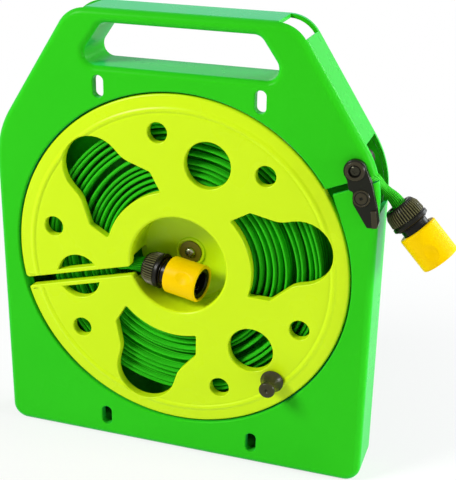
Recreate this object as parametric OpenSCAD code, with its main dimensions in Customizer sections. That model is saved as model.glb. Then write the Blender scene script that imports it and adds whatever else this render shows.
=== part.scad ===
// Garden hose reel: a flat hose wound inside a carry case, with a quick coupling on each end.
// Millimetres. The case stands on z = 0 and its front faces -Y. Depths are counted from the front
// face, and y = 0 lies halfway through the case.

/* [Case] */
// Width of the case
case_w = 306; // [300:1:330]
// Height of the case
case_h = 359.5; // [350:0.5:390]
// Depth of the case, front to back
case_d = 40; // [40:0.5:50]
// Wall of the mouldings
wall = 3; // [2.5:0.1:3.6]
// Rounding of the case's front edges
edge_r = 6; // [4.5:0.5:8]
// Height at which the upright sides would meet the sloping shoulders
shoulder_z = 256.8; // [252:0.1:262]
// Width of the flat top between the two shoulders
top_w = 174.2; // [168:0.2:180]
// Radius where side and shoulder meet
side_r = 75; // [60:1:90]
// Radius where shoulder and top meet
top_r = 26; // [20:1:30]
// Radius of the bottom corners
foot_r = 13; // [10:1:22]
// Height of the back cover
cover_h = 276; // [272:1:282]
// Gap between the back cover and the walls round it
cover_gap = 0.3; // [0.2:0.05:0.5]
// Radius of the screw bosses
boss_r = 5; // [4.5:0.1:6]
// Radius of the case screws' shanks
screw_r = 1.6; // [1.4:0.1:2]
// Radius of the case screws' heads
screw_head_r = 3.2; // [2.8:0.1:3.6]

/* [Grip] */
// Width of the grip opening at its foot
grip_w = 150; // [140:1:154]
// Width of the grip opening at its top
grip_top_w = 122; // [112:1:128]
// Height of the grip opening's foot above the base
grip_z = 316.8; // [314:0.2:320]
// Height of the grip opening
grip_h = 32; // [28:0.5:34]
// Height of the grip opening's upright ends
grip_end_h = 12; // [8:0.5:16]
// Corner radius of the grip opening
grip_r = 9; // [6:0.5:11]

/* [Wall slots] */
// Width of each slot
slot_w = 8.6; // [7:0.2:10]
// Length of each slot
slot_l = 17; // [14:0.2:20]
// Distance between the left and right slots
slot_gap_x = 126.4; // [120:0.2:134]
// Height of the lower slots
slot_low_z = 19.2; // [17:0.2:21]
// Height of the upper slots
slot_high_z = 301.6; // [301:0.2:303]

/* [Reel] */
// Height of the reel's axle above the base
axle_z = 165.5; // [164.5:0.5:168]
// Radius of the flange
flange_r = 136; // [132:0.5:136.5]
// Gap between the flange and the case
flange_gap = 1.2; // [1:0.1:2]
// Thickness of the flange's plate
plate_t = 2.5; // [2:0.1:3]
// Depth of the lips round the flange's rim and cut-outs
lip_d = 7; // [5:0.1:7.4]
// Thickness of those lips
lip_t = 2; // [1.6:0.1:2.4]
// Radius of the well in the middle
well_r = 39.4; // [38:0.2:42]
// Depth of the well's floor
well_d = 31.5; // [31:0.1:32]
// Outer radius of the core that the hose winds on
core_r = 56; // [54:0.5:57]
// Radius where the flange's raised bead runs
bead_r = 124; // [122:0.5:128]
// Height of the bead and of the sloping rim
bead_h = 0.7; // [0.4:0.1:1.2]
// Radius of the axle post
axle_r = 7; // [6:0.1:8]
// Running clearance on every axle and pin
run_gap = 0.05; // [0.02:0.01:0.1]
// Gap between pieces that move past each other
move_gap = 0.3; // [0.2:0.05:0.5]

/* [Cut-outs in the flange] */
// Distance of the large holes from the axle
large_hole_at = 87.4; // [85:0.2:90]
// Radius of the large holes
large_hole_r = 18.3; // [16:0.1:20]
// Distance of the small holes from the axle
small_hole_at = 106.5; // [105:0.5:108]
// Radius of the small holes
small_hole_r = 8; // [6:0.1:9]
// Angle of a small hole from the middle of its sector
small_hole_angle = 24.5; // [23:0.5:26]
// Radius of a window's inner edge
window_in_r = 60; // [59:0.5:63]
// Radius that a window's round lobe reaches
window_out_r = 125.4; // [123:0.2:126]
// Radius of a window's round lobe
lobe_r = 25.2; // [22:0.2:26]
// Width of the hose slot in the flange
hose_slot_w = 7.5; // [5:0.5:9]
// Width of the two bars beside the hose slot
slot_bar_w = 3.5; // [2.5:0.1:4.5]

/* [Winding knob] */
// Distance of the knob from the axle
knob_at = 117; // [115:0.5:117.5]
// Height of the knob above the flange
knob_h = 18; // [14:0.5:24]
// Radius of the knob's flared foot
knob_foot_r = 9.3; // [8:0.1:10]
// Radius of the knob's end
knob_end_r = 6.4; // [5.5:0.1:7.5]
// Radius of the knob's pin
knob_pin_r = 2.5; // [2:0.1:3]

/* [Hose] */
// Width of the hose when it lies flat
hose_w = 23; // [20:0.5:23]
// Thickness of the flat hose
hose_t = 3; // [2.4:0.1:3.2]
// Distance from one turn of the winding to the next
turn_pitch = 4.7; // [4.4:0.05:4.75]
// Radius of the hose where it is round, in a coupling
hose_r = 7.2; // [6.6:0.1:7.4]

/* [Hose gate] */
// Distance of the upper roller from the case's right side
upper_in = 18; // [17:0.5:19]
// Height of the upper roller
upper_z = 260; // [259.5:0.5:260.5]
// Distance of the lower roller from the case's right side
lower_in = 12; // [11.5:0.5:13]
// Height of the lower roller
lower_z = 240.5; // [240:0.5:241]
// Radius of both rollers
roller_r = 7.9; // [7:0.1:8]
// Radius of both roller pins
pin_r = 2.5; // [2:0.1:3]
// Width of the slot in the case's front that the hose is laid through
nip_w = 5.2; // [4.2:0.1:5.4]
// Thickness of the lever
lever_t = 4.2; // [3.4:0.1:5]
// Radius of the lever's head
lever_head_r = 8.4; // [8:0.1:9.5]

/* [Couplings] */
// Length of a coupling, end to end
coupling_l = 51; // [50:0.5:54]
// Length of the clamp nut
nut_l = 16.2; // [15.4:0.1:17]
// Radius of the clamp nut at its front
nut_r = 14.2; // [13.6:0.1:14.8]
// Length of the sliding sleeve
sleeve_l = 28.6; // [27.5:0.1:29.5]
// Outer radius of the sliding sleeve
sleeve_r = 14.9; // [14.5:0.1:15.4]
// Radius of the socket that takes the tap nipple
socket_r = 8.7; // [8.5:0.05:8.9]
// Travel of the sliding sleeve
sleeve_travel = 4; // [3:0.5:5]

/* [Hidden] */
$fn = 96;

// Colours
case_green = [0.16, 0.72, 0.12];
lime = [0.80, 0.95, 0.10];
hose_green = [0.10, 0.55, 0.10];
black = [0.09, 0.09, 0.08];
yellow = [0.98, 0.78, 0.05];
steel = [0.72, 0.72, 0.70];
rubber = [0.05, 0.05, 0.05];

// Places across the case
front_y = -case_d / 2;
half_w = case_w / 2;
opening_r = flange_r + flange_gap;
upper_at = [half_w - upper_in, upper_z];
lower_at = [half_w - lower_in, lower_z];
nip_angle = 22.3;
nip_at = [(upper_at.x + lower_at.x) / 2, (upper_at.y + lower_at.y) / 2 - 0.7];
exit_low_z = 226.4;
exit_high_z = 277;
slot_xs = [-slot_gap_x / 2, slot_gap_x / 2];

// Depths
cover_at = case_d - wall;
hose_front = lip_d + 1;
hose_mid = hose_front + hose_w / 2;
panel_at = hose_front + hose_w + 1;
hub_end = cover_at - move_gap;
ledge_d = lip_d + 0.5;
washer_t = 1.2;
post_tip = well_d - move_gap;
core_end = well_d - 0.5;
ring_at = well_d + plate_t + 2 * move_gap;
roller_l = 24;
lever_back = -move_gap;

// Angles in the flange: three sectors with holes, and three windows between them
sector_angles = [74.2, -45.8, -165.8];
window_angles = [134.2, 14.2, -105.8];
slot_angle = sector_angles[2];
knob_angle = -47;

// Plane geometry: x to the right and z up, seen from the front
function polar(r, a) = [r * cos(a), r * sin(a)];
function unit(v) = v / norm(v);
function arc_points(c, r, a0, a1, n) = [for (i = [0:n]) c + polar(r, a0 + (a1 - a0) * i / n)];
function normal_angle(a, b) = atan2(a.x - b.x, b.y - a.y);
function turn_sign(a, b, c) = sign(cross(b - a, c - b));
function corner_points(a, b, c, r, inset, n) =
    let (u = unit(a - b), w = unit(c - b), half = acos(u * w) / 2, turn = turn_sign(a, b, c))
    let (centre = b + unit(u + w) * r / sin(half), start = normal_angle(a, b) + (turn > 0 ? 0 : 180))
    [for (i = [0:n]) centre + polar(r - turn * inset, start + turn * (180 - 2 * half) * i / n)];

// Outline with round corners, each corner given as [point, radius], counterclockwise
function outline(corners, inset = 0, n = 6) =
    let (count = len(corners))
    [for (i = [0:count - 1])
        each corner_points(corners[(i + count - 1) % count][0], corners[i][0],
            corners[(i + 1) % count][0], corners[i][1], inset, n)];

// Closed outline moved outwards by t
function grown(points, t) =
    let (count = len(points))
    [for (i = [0:count - 1])
        let (before = unit(points[i] - points[(i + count - 1) % count]))
        let (after = unit(points[(i + 1) % count] - points[i]))
        let (middle = unit(before + after))
        points[i] + [middle.y, -middle.x] * t / (middle * after)];

case_corners = [
    [[-half_w, 0], foot_r], [[half_w, 0], foot_r], [[half_w, shoulder_z], side_r],
    [[top_w / 2, case_h], top_r], [[-top_w / 2, case_h], top_r], [[-half_w, shoulder_z], side_r]];
grip_corners = [
    [[-grip_w / 2, grip_z], grip_r], [[grip_w / 2, grip_z], grip_r],
    [[grip_w / 2, grip_z + grip_end_h], grip_r], [[grip_top_w / 2, grip_z + grip_h], grip_r],
    [[-grip_top_w / 2, grip_z + grip_h], grip_r], [[-grip_w / 2, grip_z + grip_end_h], grip_r]];

// Window of the flange, pointing along +x: inner edge, shoulders, necks and a round lobe
function window_points() =
    let (foot = polar(window_in_r, 31), shoulder = [window_in_r + 8.5, 35.6], neck = [window_in_r + 29.5, lobe_r])
    let (lobe = [window_out_r - lobe_r, 0], lobe_low = lobe - [0, lobe_r], lobe_high = lobe + [0, lobe_r])
    concat(
        corner_points([foot.x, -foot.y], [shoulder.x, -shoulder.y], [neck.x, -neck.y], 3, 0, 3),
        corner_points([shoulder.x, -shoulder.y], [neck.x, -neck.y], lobe_low, 22, 0, 4),
        arc_points(lobe, lobe_r, -90, 90, 18),
        corner_points(lobe_high, neck, shoulder, 22, 0, 4),
        corner_points(neck, shoulder, foot, 3, 0, 3),
        arc_points([0, 0], window_in_r, 31, -31, 8));

// Solid through a list of [outline, depth] from front to back
module loft(rings) {
    count = len(rings[0][0]);
    last = len(rings) - 1;
    points = [for (ring = rings) for (p = ring[0]) [p.x, front_y + ring[1], p.y]];
    sides = [for (i = [0:last - 1]) for (j = [0:count - 1])
        [i * count + j, i * count + (j + 1) % count,
            (i + 1) * count + (j + 1) % count, (i + 1) * count + j]];
    front = [[for (j = [count - 1:-1:0]) j]];
    back = [[for (j = [0:count - 1]) last * count + j]];
    polyhedron(points, concat(sides, front, back));
}

// Plate or cut between two depths, from a flat shape drawn in x and z
module between(depth0, depth1) {
    translate([0, front_y + depth1, 0]) rotate([90, 0, 0]) linear_extrude(depth1 - depth0) children();
}

// Round bar or bore along the depth, at a place in x and z
module bar(at, r, depth0, depth1) {
    translate([at.x, front_y + depth0, at.y]) rotate([-90, 0, 0]) cylinder(r = r, h = depth1 - depth0);
}

// Solid of revolution about an axis along the depth, from [radius, depth] points
module turned(at, points) {
    translate([at.x, front_y, at.y]) rotate([-90, 0, 0]) rotate_extrude() polygon(points);
}

// Slot with round ends, upright, cut between two depths
module obround(at, w, l, depth0, depth1) {
    for (end = [-1, 1]) bar(at + [0, end * (l - w) / 2], w / 2, depth0, depth1);
    between(depth0, depth1) translate(at) square([w, l - w], center = true);
}

axle_at = [0, axle_z];
boss_places = [
    [-half_w + 14, 14], [half_w - 14, 14],
    [-half_w + 7, axle_z - 12], [half_w - 7, axle_z - 12],
    [-106, cover_h - 9], [106, cover_h - 9]];

// Cut across a rounded shoulder, from just inside the flat top to the foot of the rounding
shoulder_way = unit([half_w - top_w / 2, shoulder_z - case_h]);
shoulder_run = top_r * tan(acos(shoulder_way.x) / 2) - 0.8;
shoulder_out = [-shoulder_way.y, shoulder_way.x];
shoulder_start = [top_w / 2 - shoulder_run, case_h];
shoulder_end = [top_w / 2, case_h] + shoulder_run * shoulder_way;
shoulder_cut = [shoulder_start - [0, 9], shoulder_start + [0, 5], shoulder_end + 26 * shoulder_out,
    shoulder_end - 10 * shoulder_out];

// Front moulding of the case: outer skin, grip, lips and bosses
module case_shell() {
    color(case_green) difference() {
        union() {
            difference() {
                case_skin(0, 0);
                case_skin(wall, wall);
            }
            // Lining of the grip opening
            loft([[outline(grip_corners, -wall), wall / 2], [outline(grip_corners, -wall), case_d]]);
            // Lip round the opening for the reel
            turned(axle_at, [[opening_r, 0.5], [opening_r + lip_t, 0.5], [opening_r + lip_t, ledge_d + 1.5],
                [flange_r - 1.5, ledge_d + 1.5], [flange_r - 1.5, ledge_d], [opening_r, ledge_d]]);
            for (at = boss_places) bar(at, boss_r, wall / 2, cover_at);
            for (at = [upper_at, lower_at]) bar(at, pin_r + 2.5, wall / 2, lip_d - move_gap);
            for (x = slot_xs) for (z = [slot_low_z, slot_high_z])
                obround([x, z], slot_w + 2 * lip_t, slot_l + 2 * lip_t, wall / 2, lip_d);
        }
        bar(axle_at, opening_r, -1, ledge_d);
        grip_cut();
        for (x = slot_xs) for (z = [slot_low_z, slot_high_z]) obround([x, z], slot_w, slot_l, -1, lip_d + 1);
        for (at = boss_places) bar(at, screw_r + run_gap, case_d - 18, case_d);
        for (at = [upper_at, lower_at]) bar(at, pin_r + run_gap, -1, lip_d);
        nip_cut();
        // Gap in the ledge where the hose runs out to the gate
        between(ledge_d - 0.5, ledge_d + 2) translate(axle_at)
            polygon([[0, 0], polar(opening_r + 12, 20), polar(opening_r + 12, 54)]);
        // Openings in the two shoulders
        for (side = [-1, 1]) between(edge_r - 2.5, case_d - 3.5)
            polygon([for (p = shoulder_cut) [side * p.x, p.y]]);
        // Side opening that the hose leaves through
        between(edge_r + 1, cover_at) translate([half_w - 22, exit_low_z])
            square([40, exit_high_z - exit_low_z]);
    }
}

// Outer form of the case, or the hollow inside it when inset by a wall
module case_skin(inset, front) {
    r = edge_r - inset;
    steps = 4;
    loft(concat(
        [for (i = [steps:-1:0]) let (a = 90 * i / steps)
            [outline(case_corners, inset + r * (1 - cos(a))), front + r * (1 - sin(a))]],
        [[outline(case_corners, inset), case_d + front / 3]]));
}

// Grip opening with its edge rounded at the front
module grip_cut() {
    r = edge_r - 1;
    steps = 4;
    loft(concat(
        [[outline(grip_corners, -r), -1]],
        [for (i = [steps:-1:0]) let (a = 90 * i / steps)
            [outline(grip_corners, -r * (1 - cos(a))), r * (1 - sin(a))]],
        [[outline(grip_corners), case_d + 1]]));
}

// Slot from the reel's opening to the side of the case, with a wedge below it along the reel
module nip_cut() {
    between(-1, lip_d + 1) {
        translate(nip_at) rotate(nip_angle) translate([-32, -nip_w / 2]) square([60, nip_w]);
        translate(axle_at) polygon([polar(opening_r - 4, 18), polar(opening_r - 0.1, 18),
            polar(opening_r + 0.9, 25), polar(opening_r + 1.4, 28.4), polar(opening_r + 2.8, 31.6),
            polar(opening_r + 2.8, 32.4), polar(opening_r - 4, 32.4)]);
    }
}

// Back cover with the axle post, and the raised ring that guides the hose
module back_cover() {
    color(case_green) difference() {
        union() {
            difference() {
                loft([[outline(case_corners, wall + cover_gap), cover_at],
                    [outline(case_corners, wall + cover_gap), case_d]]);
                between(cover_at - 1, case_d + 1) translate([-half_w, cover_h]) square([case_w, case_h]);
                turned(axle_at, [[core_r + 6, cover_at - 1], [flange_r - 14, cover_at - 1],
                    [flange_r - 14, case_d + 1], [core_r + 6, case_d + 1]]);
            }
            turned(axle_at, [[core_r + 3, panel_at], [flange_r - 11, panel_at], [flange_r - 11, case_d],
                [flange_r - 14, case_d], [flange_r - 14, panel_at + wall], [core_r + 6, panel_at + wall],
                [core_r + 6, case_d], [core_r + 3, case_d]]);
            bar(axle_at, axle_r, post_tip, cover_at + 1);
            // Ring round the post that keeps the drum's hub in line
            turned(axle_at, [[axle_r + 6, ring_at], [axle_r + 8, ring_at],
                [axle_r + 8, cover_at + 1], [axle_r + 6, cover_at + 1]]);
            for (at = [upper_at, lower_at]) bar(at, pin_r + 3, panel_at + 0.5, cover_at + 1);
        }
        bar(axle_at, screw_r + 0.4 + run_gap, post_tip - 1, cover_at);
        for (at = boss_places) {
            bar(at, screw_r + run_gap, cover_at - 1, case_d);
            bar(at, screw_head_r + run_gap, case_d - 1.8, case_d + 1);
        }
        for (at = [upper_at, lower_at]) bar(at, pin_r + run_gap, panel_at - 1, cover_at);
        for (x = slot_xs) obround([x, slot_low_z], slot_w, slot_l, cover_at - 1, case_d + 1);
    }
}

// Screws through the back cover
module case_screws() {
    color(steel) for (at = boss_places) turned(at, [[0, case_d - 15], [screw_r, case_d - 14], [screw_r, case_d - 1.8],
        [screw_head_r, case_d - 1.8], [screw_head_r, case_d - 0.6], [screw_head_r - 0.8, case_d - 0.1],
        [0, case_d - 0.1]]);
}

// Where the knob stands on the flange
knob_place = axle_at + polar(knob_at, knob_angle);

// Flange shapes, drawn about the axle
module window_shape(t) {
    polygon(grown(window_points(), t));
}

module each_window() {
    for (a = window_angles) rotate(a) children();
}

module hole_discs(t) {
    for (a = sector_angles) {
        translate(polar(large_hole_at, a)) circle(r = large_hole_r + t);
        for (side = [-1, 1])
            translate(polar(small_hole_at, a + side * small_hole_angle)) circle(r = small_hole_r + t);
    }
}

// One moulding: flange, well and core, with slots for the hose's inner end
module reel_drum() {
    color(lime) difference() {
        union() {
            difference() {
                union() {
                    drum_turned();
                    between(plate_t / 2, lip_d) translate(axle_at) {
                        each_window() window_shape(lip_t);
                        hole_discs(lip_t);
                    }
                }
                between(-2, lip_d + 1) translate(axle_at) {
                    each_window() window_shape(0);
                    hole_discs(0);
                }
            }
            // Bars beside the hose slot
            between(0, lip_d) translate(axle_at) rotate(slot_angle) translate([well_r + 2, -slot_bar_w - hose_slot_w / 2])
                square([flange_r - well_r - 6, 2 * slot_bar_w + hose_slot_w]);
            // Boss behind the flange for the knob's pin, and the seat that the knob turns on
            bar(knob_place, knob_pin_r + 4, plate_t / 2, lip_d);
            bar(knob_place, knob_pin_r + 2.2, -bead_h, plate_t / 2);
            // Ribs between the well and the core
            for (a = [sector_angles[0], sector_angles[1], for (w = window_angles) w])
                between(plate_t / 2, core_end - 0.5) translate(axle_at) rotate(a)
                    translate([well_r + 1, -lip_t / 2]) square([core_r - well_r - 2, lip_t]);
        }
        bar(axle_at, axle_r + run_gap, well_d - 3, cover_at);
        bar(knob_place, knob_pin_r + run_gap, -2, lip_d + 1);
        bar(knob_place, knob_pin_r + 1.6 + run_gap, lip_d - 1.4, lip_d + 1);
        hose_slot_cut();
    }
}

// Round parts of the drum: flange plate with bead and rim, well, floor, hub and core
module drum_turned() {
    turned(axle_at, [
        [well_r, 1], [well_r + 1, 0], [bead_r - 3, 0], [bead_r - 2, -bead_h * 0.7], [bead_r - 1, -bead_h],
        [bead_r, -bead_h * 0.8],
        [bead_r + 1.5, 0], [flange_r - 1.2, 0.2], [flange_r, 1.2], [flange_r, lip_d],
        [flange_r - lip_t, lip_d], [flange_r - lip_t, plate_t + 0.2], [bead_r, plate_t],
        [core_r, plate_t], [core_r, core_end], [core_r - wall, core_end], [core_r - wall, plate_t],
        [well_r + wall, plate_t], [well_r + wall, well_d + plate_t], [axle_r + 4, well_d + plate_t],
        [axle_r + 4, hub_end], [axle_r - 1, hub_end], [axle_r - 1, well_d], [axle_r + 3, well_d],
        [axle_r + 3, well_d - 1.3], [axle_r + 5, well_d - 1.3], [axle_r + 5.6, well_d],
        [well_r - 2, well_d], [well_r, well_d - 2]]);
}

// Slot through flange, well and core that the hose's inner end is laid in
module hose_slot_cut() {
    translate([0, 0, axle_z]) rotate([0, -slot_angle, 0]) translate([0, 0, -axle_z]) {
        between(-2, lip_d + 1) translate([well_r - 4, axle_z - hose_slot_w / 2])
            square([flange_r - well_r + 8, hose_slot_w]);
        // Rounded mouths at the well and at the rim
        for (mouth = [[well_r, 1, 2.5], [flange_r, -1, 4.5]])
            between(-2, lip_d + 1) translate([mouth[0], axle_z]) scale([mouth[1], 1]) slot_mouth(mouth[2]);
        // Way for the full width of the hose through the well's wall and the core
        between(lip_d + 0.5, core_end + 0.3) translate([well_r - 2, axle_z - 9.5])
            square([core_r - well_r + 4, 20]);
    }
}

module slot_mouth(r) {
    half = hose_slot_w / 2;
    low = arc_points([r, -half - r], r, 180, 90, 5);
    high = [for (i = [5:-1:0]) [low[i].x, -low[i].y]];
    polygon(concat([[-6, -half - r - 1], [0, -half - r - 1]], low, high, [[0, half + r + 1], [-6, half + r + 1]]));
}

module axle_washer() {
    color(black) turned(axle_at, [[screw_r + 0.4 + run_gap, post_tip - washer_t], [axle_r + 2.2, post_tip - washer_t],
        [axle_r + 2.2, post_tip], [screw_r + 0.4 + run_gap, post_tip]]);
}

module axle_screw() {
    top = post_tip - washer_t;
    r = screw_r + 0.4;
    color(steel) difference() {
        turned(axle_at, [[0, top - 2.6], [2.2, top - 2.5], [3.8, top - 1.6], [4.4, top], [r, top],
            [r, cover_at - 2], [0, cover_at - 1]]);
        for (a = [0, 90]) between(top - 4, top - 1.2) translate(axle_at) rotate(a)
            square([4, 0.9], center = true);
    }
}

module winding_knob() {
    r = knob_pin_r + run_gap;
    foot = -bead_h - move_gap;
    top = -knob_h;
    color(black) turned(knob_place, concat(
        [[r, foot], [knob_foot_r - 0.6, foot], [knob_foot_r, foot - 0.6], [knob_foot_r, foot - 1.6]],
        [for (i = [1:6]) let (t = i / 6)
            [knob_end_r - 1.3 + (knob_foot_r - knob_end_r + 0.6) * pow(1 - t, 2), foot - 2 - t * (knob_h - 8)]],
        [[knob_end_r, top + 4], [knob_end_r, top + 1.6], [knob_end_r - 0.5, top + 0.6], [knob_end_r - 1.6, top],
            [1.6, top + 0.2], [0.9, top + 1.2], [0, top + 1.4]],
        // Blind bore with a groove for the pin's bead
        [[0, top + 3.2], [r, top + 3.2], [r, top + 4.2], [r + 0.5, top + 4.7], [r + 0.5, top + 5.9], [r, top + 6.4]]));
}

module knob_pin() {
    top = -knob_h;
    color(steel) turned(knob_place, [[0, top + 3.6], [knob_pin_r, top + 3.6], [knob_pin_r, top + 4.5],
        [knob_pin_r + 0.4, top + 5], [knob_pin_r + 0.4, top + 5.6], [knob_pin_r, top + 6.1],
        [knob_pin_r, lip_d - 1.4], [knob_pin_r + 1.6, lip_d - 1.4], [knob_pin_r + 1.6, lip_d], [0, lip_d]]);
}

// Cross-section of the hose as [along the width, along the thickness]: flat, or round in a coupling
function hose_section(w, t, side) = [[w / 2, 0], [w / 2 - side, t / 2], [side - w / 2, t / 2],
    [-w / 2, 0], [side - w / 2, -t / 2], [w / 2 - side, -t / 2]];

// Tube through stations, each [place, direction of travel, width direction, width, thickness, side]
function station_ring(s) =
    let (across = unit(s[2] - s[1] * (s[2] * s[1])), up = cross(s[1], across))
    [for (p = hose_section(s[3], s[4], s[5])) s[0] + across * p.x + up * p.y];

module hose_tube(stations) {
    rings = [for (s = stations) station_ring(s)];
    count = len(rings[0]);
    last = len(rings) - 1;
    faces = concat(
        [for (i = [0:last - 1]) for (j = [0:count - 1]) for (half = [0, 1])
            half == 0
                ? [i * count + j, (i + 1) * count + (j + 1) % count, i * count + (j + 1) % count]
                : [i * count + j, (i + 1) * count + j, (i + 1) * count + (j + 1) % count]],
        [[for (j = [0:count - 1]) j]],
        [[for (j = [count - 1:-1:0]) last * count + j]]);
    polyhedron([for (ring = rings) each ring], faces);
}

// Places in the winding's own terms: distance along the slot's line, and clockwise beside it
function in_drum(along, beside, depth) =
    let (p = axle_at + along * polar(1, slot_angle) + beside * polar(1, slot_angle - 90))
    [p.x, front_y + depth, p.y];

// Inner coupling: rear of its nut, and the way it points
inner_at = [-31.8, front_y + 16.9, axle_z - 11];
inner_way = unit([0.980, -0.175, -0.0955]);
// Outer coupling: rear of its nut, and the way it points
outer_at = [163.9, front_y + 17.5, 231.3];
outer_way = unit([0.677, -0.03, -0.736]);
inner_roll = -90;
outer_roll = -90;
hose_seat = 9;

// The hose's flat and round cross-sections
flat = [hose_w, hose_t, 1.2];
round_hose = [2 * hose_r, sqrt(3) * hose_r, hose_r / 2];
function mix(a, b, t) = a * (1 - t) + b * t;
function station(at, way, section, across = [0, 1, 0]) = concat([at, unit(way), across], section);

// Spiral of the winding
first_turn_r = core_r + hose_t / 2 + 0.6;
bend_r = 7;
start_angle = slot_angle - atan(bend_r / first_turn_r);
steps_per_turn = 24;
turn_steps = 271;
turn_step = 15;
spiral_ring_r = [for (i = [0:turn_steps]) first_turn_r + turn_pitch * i / steps_per_turn];
winding_r = spiral_ring_r[turn_steps] + hose_t / 2;
end_angle = start_angle - turn_step * turn_steps;
function spiral_station(i) =
    let (a = start_angle - turn_step * i, p = axle_at + polar(spiral_ring_r[i], a))
    station([p.x, front_y + hose_mid, p.y], [sin(a), 0, -cos(a)], flat);
bend_steps = 3;
winding_stations = concat(
    [station(inner_at + hose_seat * inner_way, -inner_way, round_hose),
        station(inner_at, -inner_way, round_hose)],
    [for (i = [1:2]) let (p = in_drum(37.5 + 4.5 * i, -1.8 + 0.9 * i, 17.3 + i * (hose_mid - 17.3) / 2))
        station(p, in_drum(1, 0, 0) - in_drum(0, 0, 0), mix(round_hose, flat, i / 2.4))],
    [for (i = [0:bend_steps - 1]) let (a = 90 * i / bend_steps)
        station(in_drum(first_turn_r - bend_r + bend_r * sin(a), bend_r * (1 - cos(a)), hose_mid),
            in_drum(cos(a), sin(a), 0) - in_drum(0, 0, 0), flat)],
    [for (i = [0:turn_steps]) spiral_station(i)]);

// Least gap between one turn and the next, measured from each point to the turn outside it
winding_rings = [for (s = winding_stations) station_ring(s)];
tail_count = len(winding_stations) - turn_steps - 1;
turn_gaps = [for (i = [tail_count:len(winding_rings) - 1 - steps_per_turn]) for (p = winding_rings[i])
    min([for (q = winding_rings[i + steps_per_turn]) norm(p - q)])];
echo("least gap between turns of the hose, mm", min(turn_gaps));
echo("turns", turn_steps / steps_per_turn, "outer radius", winding_r, "end angle", end_angle);

module hose_winding() {
    color(hose_green) hose_tube(winding_stations);
}

// Outlet run of the hose, points chosen by hand in x, depth and height
outlet_r = 116;
outlet_route = [[61, 19.5, 263], [80, 19.5, 256], [98, 19.5, 250.3], [113, 19.5, 247], [126, 19.5, 246.8],
    [133.6, 19.5, 248.8], [138.2, 19.5, 250.2], [142.7, 19.5, 250.5], [146, 19.5, 249.3], [149.2, 19.5, 247],
    [152.6, 19.5, 244.2], [156, 19.3, 240.4], [159.7, 18.7, 235.9]];
outlet_round = [0, 0, 0, 0, 0, 0, 0, 0, 0, 0, 0, 0.25, 0.8];
function outlet_point(i) = [outlet_route[i].x, front_y + outlet_route[i].y, outlet_route[i].z];
function outlet_way(i) = i == len(outlet_route) - 1 ? outer_way
    : outlet_point(i + 1) - (i == 0 ? outlet_point(0) - [18, 0, -7.3] : outlet_point(i - 1));
outlet_stations = concat(
    [for (a = [88, 80, 72]) let (p = axle_at + polar(outlet_r, a))
        station([p.x, front_y + hose_mid, p.y], [sin(a), 0, -cos(a)], flat)],
    [for (i = [0:len(outlet_route) - 1])
        station(outlet_point(i), outlet_way(i), mix(flat, round_hose, outlet_round[i]))],
    [station(outer_at, outer_way, round_hose), station(outer_at + hose_seat * outer_way, outer_way, round_hose)]);

module hose_outlet() {
    color(hose_green) hose_tube(outlet_stations);
}

module roller(at) {
    front = hose_mid - roller_l / 2;
    r = pin_r + run_gap;
    turned(at, [[r, front], [roller_r - 0.8, front], [roller_r, front + 0.8],
        [roller_r, front + roller_l - 0.8], [roller_r - 0.8, front + roller_l], [r, front + roller_l]]);
}

module upper_roller() { color(black) roller(upper_at); }
module lower_roller() { color(black) roller(lower_at); }

// Pins run from the back cover through the case's front to the lever
module upper_roller_pin() {
    color(steel) difference() {
        bar(upper_at, pin_r, -lever_t + 0.4, cover_at - 1);
        bar(upper_at, 1.3, -lever_t - 1, 8);
    }
}

module lower_roller_pin() { color(steel) bar(lower_at, pin_r, -1.8, cover_at - 1); }

// Lever: swings about the upper pin, hooks over the lower pin and holds the hose slot shut
hook_r = norm(lower_at - upper_at);
hook_start = atan2(lower_at.y - upper_at.y, lower_at.x - upper_at.x);
module lever_shape() {
    translate(upper_at) circle(r = lever_head_r);
    translate(lower_at) circle(r = 6.6);
    translate(lower_at) polygon([[5, -21.8], [11, -21.8], [12.9, -20.4], [13.5, -17], [11.4, -5.8], [6.8, 10.9],
        [2.6, 20.6], [-6, 19.5], [-14, 16.6], [-11.2, 11.9], [-9.8, 5.4], [-8.6, 4.4], [-6.6, 3.8], [-6.4, -4.4]]);
}

module gate_lever() {
    front = lever_back - lever_t;
    color(black) difference() {
        union() {
            between(front, lever_back) lever_shape();
            turned(upper_at, [[pin_r, front - 1.2], [lever_head_r - 1.8, front - 1.2], [lever_head_r - 0.8, front],
                [lever_head_r - 0.8, lever_back], [pin_r, lever_back]]);
            turned(lower_at, [[0, front - 0.9], [4.2, front - 0.9], [4.2, front - 0.4], [5, front - 0.4],
                [5, front - 0.9], [6.2, front - 0.9], [6.8, front], [6.8, front + 1], [0, front + 1]]);
            // Thumb ridge
            between(front - 2, front + 1) translate(lower_at + [10.2, -14.5]) rotate(8)
                square([4, 13], center = true);
        }
        bar(upper_at, pin_r + run_gap, front - 2, 1);
        bar(upper_at, 4.6, front - 3, front + 0.8);
        // Hook: a groove in the lever's back that lets the lower pin out as the lever swings
        translate([upper_at.x, front_y - 2.1, upper_at.y]) rotate([-90, 0, 0])
            rotate_extrude(angle = 60, start = -hook_start - 10)
                translate([hook_r - pin_r - move_gap, 0]) square([2 * (pin_r + move_gap), 3]);
    }
}

module lever_screw() {
    front = lever_back - lever_t;
    color(black) turned(upper_at, [[0, front - 0.6], [2.2, front - 0.5], [3.9, front + 0.1], [3.9, front + 0.5],
        [1.25, front + 0.5], [1.25, 7], [0, 7.6]]);
}

// Coupling pieces lie along +Z from the rear of the nut, and are turned to where they lie
module place_coupling(at, way, roll) {
    translate(at) rotate([0, acos(way.z), atan2(way.y, way.x)]) rotate(roll) children();
}

module revolve(points) { rotate_extrude() polygon(points); }

sleeve_at = coupling_l - sleeve_l;
neck_r = 10.6;
waist_r = 10.2;
seal_r = 0.8;
barrel_r = 12.2;
shoulder_at = sleeve_at + 2;
barrel_at = sleeve_at + 8.5 + sleeve_travel;

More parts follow.
